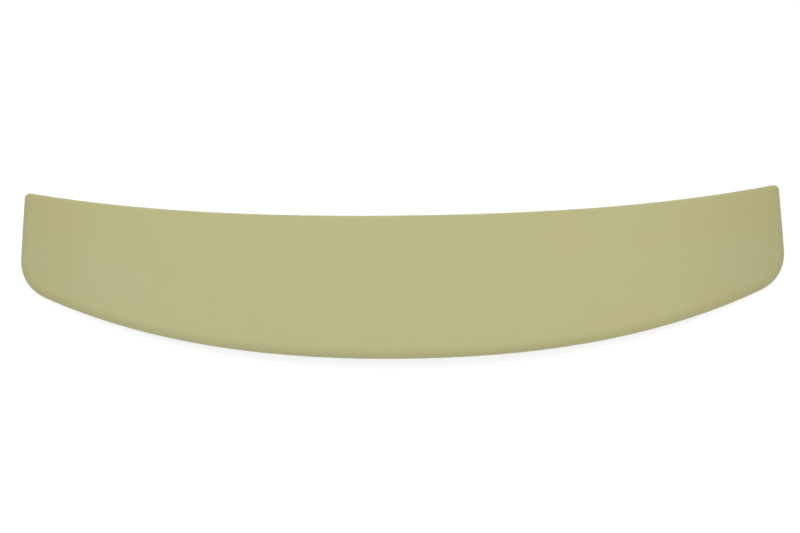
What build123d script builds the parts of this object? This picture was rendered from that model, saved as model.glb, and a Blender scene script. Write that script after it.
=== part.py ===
"""Roof spoiler for the top of a saloon car's rear window: one polyurethane moulding.

The outer skin is a cambered section swept round an arc that carries both the crown of
the roof and the bow of its rear edge.  The plan outline trims it, the outer edge is
rolled all round, and the underside is cored out, which leaves a wide bonding land along
the front, a narrow rim along the ends and the lip, and ribs between them.

Millimetres, +Z up, +Y towards the front of the car, as it lies on a flat surface.
"""

from build123d import *

import os
from math import acos, asin, atan2, cos, degrees, floor, hypot, radians, sin

# Plan outline
overall_width = 1120.0
centre_chord = 207.5
lead_bow = 51.5  # the front corners stand this far ahead of the front edge's middle
lead_end_angle = 12.3  # the front edge's sweep where it meets the ends, in degrees
trail_bow = 117.5  # the same two sizes for the rear edge
trail_end_angle = 27.4
trail_skin_corner = 50.0  # the skin's radius at the rear corners, inside the rolled edge

# Crown and section
crown_rise = 48.0  # the front edge's middle stands this far above its corners
camber = 3.5  # bulge of the skin between the front edge and the lip
edge_roll = 12.0  # radius of the outer edge along the lip and the ends
lead_roll = 7.0  # smaller radius of the outer edge along the front and round its corners
lead_edge = 1.0  # upright edge left under the ends' roll where they meet the front
lip_thickness = 22.0

# Cored underside
wall = 4.5
front_land = 28.0
rear_rim = 10.0
end_rim = 18.0
pocket_corner = 9.0
root_flare = 3.0  # the pocket's walls slope out by this much where they run into the skin
rib_thickness = 3.2
rib_pitch = 94.0
rib_setback = 2.0  # the ribs stop this far short of the bonding face

# Laid on a flat surface it leans back by this angle, in degrees, onto its rear corners.
rest_pitch = 5.1

# How far the trimming bodies reach past what they trim
overrun = 15.0

half_width = overall_width / 2
lead_thickness = lead_edge + edge_roll
trail_corner = edge_roll + trail_skin_corner
rib_root = wall / 2

# The crown arc starts from the front edge's middle, at the origin, and its plane leans
# forward, so that going round it drops the ends by the rise and carries them ahead by the bow.
crown_throw = hypot(lead_bow, crown_rise)
crown_lean = atan2(crown_rise, lead_bow)
crown_radius = (half_width**2 + crown_throw**2) / (2 * crown_throw)
crown_axis = Axis(
    (0, crown_radius * cos(crown_lean), -crown_radius * sin(crown_lean)),
    (0, sin(crown_lean), cos(crown_lean)),
)
half_sweep = degrees(asin((half_width + overrun) / crown_radius))

# The skin's arc in the middle section runs from the front edge's top to the lip's top.
skin_rise = lip_thickness - lead_thickness
skin_run = hypot(centre_chord, skin_rise)
skin_radius = skin_run**2 / (8 * camber) + camber / 2
skin_tilt = atan2(skin_rise, centre_chord)
skin_centre = (
    -centre_chord / 2 - (skin_radius - camber) * sin(skin_tilt),
    (lead_thickness + lip_thickness) / 2 - (skin_radius - camber) * cos(skin_tilt),
)


def crowned_body(floor_height, skin_drop, front_reach):
    """Body swept round the crown, from a height over the bonding face up to the lowered skin."""
    radius = skin_radius - skin_drop
    front = degrees(acos((front_reach - skin_centre[0]) / radius))
    rear = degrees(acos((-centre_chord - overrun - skin_centre[0]) / radius))
    with BuildPart() as body:
        with BuildSketch(Plane.YZ):
            with BuildLine():
                skin = CenterArc(skin_centre, radius, front, rear - front)
                front_foot = ((skin @ 0).X, floor_height)
                rear_foot = ((skin @ 1).X, floor_height)
                Polyline(skin @ 0, front_foot, rear_foot, skin @ 1)
            make_face()
        revolve(axis=crown_axis, revolution_arc=2 * half_sweep)
    return body.part.rotate(crown_axis, -half_sweep)


def edge_line(middle_y, bow, end_angle):
    """Front or rear edge in plan, from end to end of the overall width."""
    sweep = radians(end_angle)
    return Spline(
        (-half_width, middle_y + bow),
        (0, middle_y),
        (half_width, middle_y + bow),
        tangents=[(cos(sweep), -sin(sweep)), (cos(sweep), sin(sweep))],
    )


def plan_block(front_inset, rear_inset, end_inset, rear_corner):
    """Upright block with the plan outline, drawn in by the insets, with sharp front corners."""
    base = -crown_rise - overrun
    with BuildPart() as block:
        with BuildSketch(Plane.XY.offset(base)):
            with BuildLine():
                lead = edge_line(-front_inset, lead_bow, lead_end_angle)
                trail = edge_line(rear_inset - centre_chord, trail_bow, trail_end_angle)
                Line(lead @ 0, trail @ 0)
                Line(lead @ 1, trail @ 1)
            make_face()
            span = overall_width - 2 * end_inset
            Rectangle(span, 2 * (centre_chord + lead_bow), mode=Mode.INTERSECT)
        extrude(amount=lip_thickness + camber + overrun - base)
        fillet(block.edges().filter_by(Axis.Z).group_by(Axis.Y)[0], rear_corner)
    return block.part


def skin_edges(piece):
    """Rear and front edge of the piece's outer skin, its two longest."""
    outer_skin = piece.faces().sort_by(Axis.Z)[-1]
    return outer_skin.edges().sort_by(SortBy.LENGTH)[-2:].sort_by(Axis.Y)


outline = plan_block(0, 0, 0, trail_corner)
pocket_outline = plan_block(front_land, rear_rim, end_rim, pocket_corner)
rib_outline = plan_block(front_land - rib_root, rear_rim - rib_root, end_rim, pocket_corner)
blank = crowned_body(0, 0, overrun)
core = crowned_body(-overrun, wall, 0)
rib_depth = crowned_body(rib_setback, wall - rib_root, 0)

# The space cored out of the underside
with BuildPart() as pocket:
    add(core)
    add(pocket_outline, mode=Mode.INTERSECT)
    fillet(pocket.edges().filter_by(Axis.Z).group_by(Axis.Y)[-1], pocket_corner)
    ceiling = pocket.faces().sort_by(Axis.Z)[-1]
    chamfer(ceiling.edges(), root_flare)

# Upright ribs from the front land to the lip, rooted half a wall deep in both and in the skin,
# from the middle outwards to no nearer than half a pitch from the end rims
ribs_each_side = floor((half_width - end_rim - rib_pitch / 2) / rib_pitch)
rib_places = [(n * rib_pitch, 0, 0) for n in range(-ribs_each_side, ribs_each_side + 1)]
rib_reach = 2 * (centre_chord + crown_rise + lip_thickness)
with BuildPart() as ribs:
    with Locations(rib_places):
        Box(rib_thickness, rib_reach, rib_reach)
    add(rib_depth, mode=Mode.INTERSECT)
    add(rib_outline, mode=Mode.INTERSECT)

# The moulding: the lip's roll carries on round the rear corners and along both ends, and the
# front's smaller roll then runs round the front corners, down to the bonding face.
with BuildPart() as moulding:
    add(blank)
    add(outline, mode=Mode.INTERSECT)
    fillet(skin_edges(moulding)[0], edge_roll)
    fillet(skin_edges(moulding)[1], lead_roll)
    add(pocket.part, mode=Mode.SUBTRACT)
    add(ribs.part)

# Laid as it comes to rest, over the middle of its own box
laid = moulding.part.rotate(Axis.X, rest_pitch)
box = laid.bounding_box()
with BuildPart() as roof_spoiler:
    add(laid.moved(Location((0, -box.center().Y, -box.min.Z))))

roof_spoiler.part.label = "roof_spoiler"
os.makedirs("parts", exist_ok=True)
export_step(roof_spoiler.part, "parts/roof_spoiler.step")
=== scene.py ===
"""Roof spoiler as moulded: raw, unpainted polyurethane on a white studio floor.

Metres, degrees and watts, in the part's own frame: +X across the car, +Y towards its front, +Z up.
"""

from math import cos, pi, radians, sin

import bpy
from mathutils import Matrix, Vector

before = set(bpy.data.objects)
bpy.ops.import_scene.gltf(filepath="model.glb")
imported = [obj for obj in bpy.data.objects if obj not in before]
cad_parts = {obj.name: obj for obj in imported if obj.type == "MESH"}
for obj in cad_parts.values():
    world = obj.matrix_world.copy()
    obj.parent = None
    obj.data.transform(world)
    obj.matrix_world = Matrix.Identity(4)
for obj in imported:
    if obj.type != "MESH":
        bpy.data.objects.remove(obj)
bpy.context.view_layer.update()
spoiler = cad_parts["roof_spoiler"]
scene = bpy.context.scene

# Camera, looking down on the rear lip, with its lens and sensor in millimetres
AIM = Vector((-0.0040, 0.0023, 0.0498))
VIEW_DISTANCE = 2.1
VIEW_ELEVATION = 74.9
VIEW_ROLL = -0.64
LENS = 65.67
SENSOR = 36.0

# Softboxes: how far each is tipped from overhead towards the front edge, its distance, its shift
# across the car, its size and energy, and the angle to which its grid narrows the light
KEY_LIGHT = {
    "tip": 6.0,
    "distance": 1.2,
    "shift": -0.02,
    "length": 1.12,
    "depth": 1.0,
    "energy": 0.84,
    "spread": 26.0,
}
FRONT_LIGHT = {
    "tip": 74.0,
    "distance": 1.36,
    "shift": 0.0,
    "length": 2.0,
    "depth": 0.3,
    "energy": 2.5,
    "spread": 180.0,
}

# Even surround: its colour, and its strength as light and where it is looked at
SURROUND_COLOUR = 1.0
SURROUND_LIGHT = 0.68
SURROUND_SEEN = 1.0

# White floor: its side, the share of the light that it returns, and, where it is looked at, the
# share that shows the shadow and the glow that brings the rest up to white
FLOOR_SIZE = 30.0
FLOOR_COLOUR = 0.8
FLOOR_SEEN_COLOUR = 0.4
FLOOR_SEEN_GLOW = 0.74

# Raw polyurethane: in the middle, towards the ends, paler and bluer where a reflection is painted
# in, and where its flash was trimmed off
MIDDLE_RESIN = (0.484, 0.469, 0.223, 1.0)
END_RESIN = (0.494, 0.462, 0.219, 1.0)
# Paler and bluer than the resin, for a painted reflection
PAINTED_REFLECTION_RESIN = (0.493, 0.475, 0.247, 1.0)
TRIMMED_RESIN = (0.56, 0.545, 0.30, 1.0)
CLEAR_ROUGHNESS = 0.58
HAZED_ROUGHNESS = 0.64

# Soft patches, each by its middle and its half sizes across and along the car: where the resin has
# its middle colour, where a paler, bluer reflection is painted in and the skin is duller, and the
# largest such patch, on the left; and how strong the fainter patches are beside that one
MIDDLE_PATCH = (-0.070, -0.020, 0.420, 0.600)
REFLECTION_AND_HAZE_PATCHES = (
    (-0.152, 0.012, 0.040, 0.060),
    (-0.190, -0.035, 0.070, 0.040),
    (-0.105, -0.078, 0.110, 0.050),
    (0.060, -0.086, 0.150, 0.036),
    (0.356, -0.010, 0.110, 0.042),
    (0.490, 0.012, 0.060, 0.052),
    (-0.530, 0.022, 0.050, 0.050),
    (-0.310, -0.080, 0.110, 0.045),
)
LEFT_REFLECTION_PATCH = (-0.400, -0.020, 0.120, 0.078)
FAINT_REFLECTION_AND_HAZE = 0.7

# Arc where the painted reflection on the left starts, round a centre just ahead of the front edge:
# its centre and radius, and how far it fades to each side
REFLECTION_ARC_CENTRE = (-0.23, 0.12, 0.045)
REFLECTION_ARC_RADIUS = 0.187
REFLECTION_ARC_EDGE = 0.008

# A patch is whole up to its core and gone past its rim, both counted in its half sizes, and clouds
# of noise move them in and out by up to the wander.  Upwards it is far larger than the part.
PATCH_CORE = 0.1
PATCH_RIM = 1.5
PATCH_WANDER = 1.0
PATCH_HEIGHT = 1.0
CLOUD_SIZE = 0.07

# Mottle and grain: their sizes, and by how much they lighten and darken the colour
MOTTLE_SIZE = 0.03
MOTTLE_DEPTH = 0.008
GRAIN_SIZE = 0.0015
GRAIN_DEPTH = 0.04

# Relief of the skin: orange peel, the same grain, and pinholes
PEEL_SIZE = 0.007
PEEL_HEIGHT = 0.0001
GRAIN_HEIGHT = 0.00004
PINHOLE_PITCH = 0.016
PINHOLE_RADIUS = 0.0005
PINHOLE_DEPTH = 0.0003

# Trimmed edges, found by short rays into the resin: the rays' length and number, and the share of
# them that stays inside at a sharp edge and clear of one
TRIM_WIDTH = 0.0025
TRIM_RAYS = 8
TRIM_SHARP = 0.6
TRIM_CLEAR = 0.9

# Noise: octaves of the coarse and of the fine patterns, and the range that they fill
COARSE_OCTAVES = 4.0
FINE_OCTAVES = 2.0
NOISE_LOW = 0.2
NOISE_HIGH = 0.8

# Numbers of the Mix node's colour sockets, which share their names with its other sockets
MIX_FIRST = 6
MIX_SECOND = 7
MIX_RESULT = 2


def add_node(tree, kind, inputs, **settings):
    """New node with its settings; its inputs are constants or other nodes' outputs."""
    node = tree.nodes.new(kind)
    for name, value in settings.items():
        setattr(node, name, value)
    for socket, value in inputs.items():
        if isinstance(value, bpy.types.NodeSocket):
            tree.links.new(value, node.inputs[socket])
        else:
            node.inputs[socket].default_value = value
    return node


def number_math(tree, operation, first, second):
    """Sum, product or the like of two numbers."""
    inputs = {0: first, 1: second}
    return add_node(tree, "ShaderNodeMath", inputs, operation=operation).outputs["Value"]


def vector_math(tree, operation, *vectors):
    """Difference, length or the like of one or two vectors: the node's outputs."""
    inputs = dict(enumerate(vectors))
    return add_node(tree, "ShaderNodeVectorMath", inputs, operation=operation).outputs


def remap(tree, value, start, end, low=0.0, high=1.0, interpolation="SMOOTHSTEP"):
    """Runs from low to high as the value goes from start to end, and stays there beyond."""
    inputs = {"Value": value, "From Min": start, "From Max": end, "To Min": low, "To Max": high}
    node = add_node(tree, "ShaderNodeMapRange", inputs, interpolation_type=interpolation)
    return node.outputs["Result"]


def blend_numbers(tree, factor, first, second):
    """Number between two others."""
    return remap(tree, factor, 0.0, 1.0, first, second, "LINEAR")


def blend_colours(tree, factor, first, second):
    """Colour between two others."""
    inputs = {"Factor": factor, MIX_FIRST: first, MIX_SECOND: second}
    return add_node(tree, "ShaderNodeMix", inputs, data_type="RGBA").outputs[MIX_RESULT]


def noise(tree, place, size, octaves):
    """Noise pattern about a middle of 0.5, with features of the size given."""
    inputs = {"Vector": place, "Scale": 1 / size, "Detail": octaves}
    return add_node(tree, "ShaderNodeTexNoise", inputs).outputs["Fac"]


def grey(value):
    """Colour with no hue."""
    return (value, value, value, 1.0)


def new_material(name):
    """Material that is made of nodes."""
    material = bpy.data.materials.new(name)
    material.use_nodes = True
    return material


def add_object(name, data):
    """New object in the scene."""
    thing = bpy.data.objects.new(name, data)
    scene.collection.objects.link(thing)
    return thing


def add_camera():
    """Camera at the photograph's angle."""
    elevation = radians(VIEW_ELEVATION)
    back = Vector((0.0, -cos(elevation), sin(elevation)))
    tilt = Matrix.Rotation(pi / 2 - elevation, 4, "X")
    roll = Matrix.Rotation(radians(VIEW_ROLL), 4, "Z")
    data = bpy.data.cameras.new("camera")
    data.lens = LENS
    data.sensor_width = SENSOR
    camera = add_object("camera", data)
    camera.matrix_world = Matrix.Translation(AIM + VIEW_DISTANCE * back) @ tilt @ roll
    scene.camera = camera


def looked_at(tree):
    """Factor of 1 for rays from the camera and mirrored or refracted ones, and of 0 for light."""
    rays = add_node(tree, "ShaderNodeLightPath", {}).outputs
    mirrored = number_math(tree, "MAXIMUM", rays["Is Glossy Ray"], rays["Is Transmission Ray"])
    return number_math(tree, "MAXIMUM", rays["Is Camera Ray"], mirrored)


def white_floor():
    """Plain floor to the light, and white with the object's shadow where it is looked at."""
    material = new_material("white_floor")
    tree = material.node_tree
    tree.nodes.clear()
    lit = add_node(tree, "ShaderNodeBsdfDiffuse", {"Color": grey(FLOOR_COLOUR)})
    shadowed = add_node(tree, "ShaderNodeBsdfDiffuse", {"Color": grey(FLOOR_SEEN_COLOUR)})
    glow = add_node(tree, "ShaderNodeEmission", {"Strength": FLOOR_SEEN_GLOW})
    seen = add_node(tree, "ShaderNodeAddShader", {0: shadowed.outputs[0], 1: glow.outputs[0]})
    shaders = {0: looked_at(tree), 1: lit.outputs[0], 2: seen.outputs[0]}
    choice = add_node(tree, "ShaderNodeMixShader", shaders)
    add_node(tree, "ShaderNodeOutputMaterial", {"Surface": choice.outputs[0]})
    return material


def add_floor():
    """White floor that keeps the object's shadow."""
    half = FLOOR_SIZE / 2
    mesh = bpy.data.meshes.new("floor")
    corners = [(-half, -half, 0), (half, -half, 0), (half, half, 0), (-half, half, 0)]
    mesh.from_pydata(corners, [], [(0, 1, 2, 3)])
    mesh.materials.append(white_floor())
    floor = add_object("floor", mesh)


def add_softbox(name, tip, distance, shift, length, depth, energy, spread):
    """Rectangular light that faces the part."""
    data = bpy.data.lights.new(name, "AREA")
    data.shape = "RECTANGLE"
    data.size = length
    data.size_y = depth
    data.energy = energy
    data.spread = radians(spread)
    softbox = add_object(name, data)
    swing = Matrix.Rotation(radians(-tip), 4, "X")
    softbox.matrix_world = swing @ Matrix.Translation((shift, 0.0, distance))


def add_surround():
    """Even white surround, at full strength only where it is looked at."""
    world = bpy.data.worlds.new("surround")
    world.use_nodes = True
    tree = world.node_tree
    shader = tree.nodes["Background"]
    shader.inputs["Color"].default_value = grey(SURROUND_COLOUR)
    strength = blend_numbers(tree, looked_at(tree), SURROUND_LIGHT, SURROUND_SEEN)
    tree.links.new(strength, shader.inputs["Strength"])
    scene.world = world


def ragged_rim(tree, place):
    """How far the clouds move the rims of the patches."""
    clouds = noise(tree, place, CLOUD_SIZE, COARSE_OCTAVES)
    return blend_numbers(tree, clouds, -PATCH_WANDER, PATCH_WANDER)


def soft_patch(tree, place, ragged, patch):
    """Patch that fades to a ragged rim: 1 in its middle and 0 outside."""
    x, y, half_length, half_depth = patch
    offset = vector_math(tree, "SUBTRACT", place, (x, y, 0.0))["Vector"]
    share = vector_math(tree, "DIVIDE", offset, (half_length, half_depth, PATCH_HEIGHT))["Vector"]
    ring = vector_math(tree, "LENGTH", share)["Value"]
    return remap(tree, number_math(tree, "ADD", ring, ragged), PATCH_CORE, PATCH_RIM, 1.0, 0.0)


def painted_reflection_and_haze(tree, place, ragged):
    """Painted reflection, where the skin is also duller: the patch on the left and fainter ones."""
    # The patch on the left is a painted reflection that starts at an arc
    from_arc_centre = vector_math(tree, "DISTANCE", place, REFLECTION_ARC_CENTRE)["Value"]
    past_arc = remap(tree, from_arc_centre, REFLECTION_ARC_RADIUS - REFLECTION_ARC_EDGE, REFLECTION_ARC_RADIUS + REFLECTION_ARC_EDGE)
    reflection_and_haze = number_math(tree, "MULTIPLY", past_arc, soft_patch(tree, place, ragged, LEFT_REFLECTION_PATCH))
    for patch in REFLECTION_AND_HAZE_PATCHES:
        faint = number_math(tree, "MULTIPLY", soft_patch(tree, place, ragged, patch), FAINT_REFLECTION_AND_HAZE)
        reflection_and_haze = number_math(tree, "MAXIMUM", reflection_and_haze, faint)
    return reflection_and_haze


def trimmed_edge(tree):
    """Sharp outer edges, where the flash was trimmed off."""
    rays = {"samples": TRIM_RAYS, "inside": True, "only_local": True}
    node = add_node(tree, "ShaderNodeAmbientOcclusion", {"Distance": TRIM_WIDTH}, **rays)
    return remap(tree, node.outputs["AO"], TRIM_SHARP, TRIM_CLEAR, 1.0, 0.0)


def shade(tree, pattern, depth):
    """Factor that lightens and darkens by up to a depth, with a noise pattern."""
    return remap(tree, pattern, NOISE_LOW, NOISE_HIGH, 1 - depth, 1 + depth, "LINEAR")


def resin_colour(tree, place, ragged, reflection_and_haze):
    """Resin, warmer towards the ends, with its painted reflection, mottle, grain and trimmed edges.
    """
    middle = soft_patch(tree, place, ragged, MIDDLE_PATCH)
    clear = blend_colours(tree, middle, END_RESIN, MIDDLE_RESIN)
    # Painted reflection: paler, bluer colour laid over the resin in patches
    tone = blend_colours(tree, reflection_and_haze, clear, PAINTED_REFLECTION_RESIN)
    mottle = shade(tree, noise(tree, place, MOTTLE_SIZE, COARSE_OCTAVES), MOTTLE_DEPTH)
    grain = shade(tree, noise(tree, place, GRAIN_SIZE, FINE_OCTAVES), GRAIN_DEPTH)
    value = number_math(tree, "MULTIPLY", mottle, grain)
    shaded = add_node(tree, "ShaderNodeHueSaturation", {"Value": value, "Color": tone})
    return blend_colours(tree, trimmed_edge(tree), shaded.outputs["Color"], TRIMMED_RESIN)


def skin_relief(tree, place):
    """Slight orange peel with a fine grain and a few pinholes."""
    cells = {"Vector": place, "Scale": 1 / PINHOLE_PITCH}
    centre = add_node(tree, "ShaderNodeTexVoronoi", cells).outputs["Distance"]
    pinholes = remap(tree, centre, 0.0, PINHOLE_RADIUS / PINHOLE_PITCH)
    heights = (
        (noise(tree, place, PEEL_SIZE, FINE_OCTAVES), PEEL_HEIGHT),
        (noise(tree, place, GRAIN_SIZE, FINE_OCTAVES), GRAIN_HEIGHT),
        (pinholes, PINHOLE_DEPTH),
    )
    normal = None
    for height, depth in heights:
        bump = add_node(tree, "ShaderNodeBump", {"Height": height, "Distance": depth})
        if normal:
            tree.links.new(normal, bump.inputs["Normal"])
        normal = bump.outputs["Normal"]
    return normal


def raw_polyurethane():
    """Dull satin moulding, duller still under the painted reflection."""
    material = new_material("raw_polyurethane")
    tree = material.node_tree
    shader = tree.nodes["Principled BSDF"]
    place = add_node(tree, "ShaderNodeTexCoord", {}).outputs["Object"]
    ragged = ragged_rim(tree, place)
    reflection_and_haze = painted_reflection_and_haze(tree, place, ragged)
    roughness = blend_numbers(tree, reflection_and_haze, CLEAR_ROUGHNESS, HAZED_ROUGHNESS)
    tree.links.new(resin_colour(tree, place, ragged, reflection_and_haze), shader.inputs["Base Color"])
    tree.links.new(roughness, shader.inputs["Roughness"])
    tree.links.new(skin_relief(tree, place), shader.inputs["Normal"])
    return material


add_camera()
add_floor()
add_softbox("key_light", **KEY_LIGHT)
add_softbox("front_light", **FRONT_LIGHT)
add_surround()
spoiler.material_slots[0].material = raw_polyurethane()
scene.view_settings.view_transform = "Standard"
